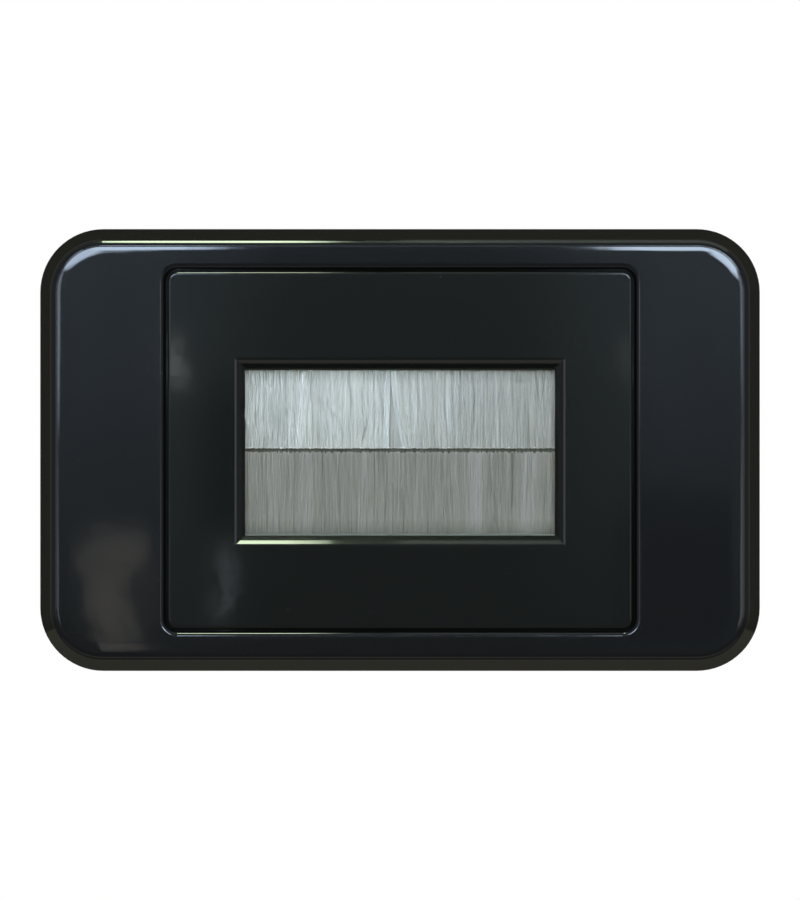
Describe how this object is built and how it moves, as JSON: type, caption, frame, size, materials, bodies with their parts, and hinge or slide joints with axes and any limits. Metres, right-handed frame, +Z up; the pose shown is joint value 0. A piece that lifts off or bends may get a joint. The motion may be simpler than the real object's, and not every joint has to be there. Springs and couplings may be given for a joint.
{
  "type": "brush cable wall plate",
  "caption": "Oblong wall plate with a rectangular window closed by facing rows of brush bristles, which lets cables through a wall while covering the hole behind it.",
  "frame": {"origin": "middle of the back of the plate, on the plane that lies against the wall", "axes": "X across the plate to the right as seen from the front, Y into the wall so that the front faces -Y, Z up"},
  "size_m": [0.114, 0.009, 0.07],
  "materials": {
    "cover": "gloss black ABS, moulded and polished",
    "grid": "gloss black ABS, moulded and polished",
    "channel": "zinc-plated steel, roll formed",
    "wire": "drawn steel wire",
    "bristle": "smoke-grey nylon filament",
    "clamp": "black ABS, as moulded",
    "screw": "zinc-plated steel"
  },
  "bodies": {
    "root": {"cover_plate": "cover", "grid_plate": "grid", "upper_brush_channel": "channel", "upper_core_wire": "wire", "upper_bristles": "bristle", "lower_brush_channel": "channel", "lower_core_wire": "wire", "lower_bristles": "bristle", "upper_clamp_bar": "clamp", "lower_clamp_bar": "clamp", "clamp_screws": "screw"}
  },
  "joints": []
}
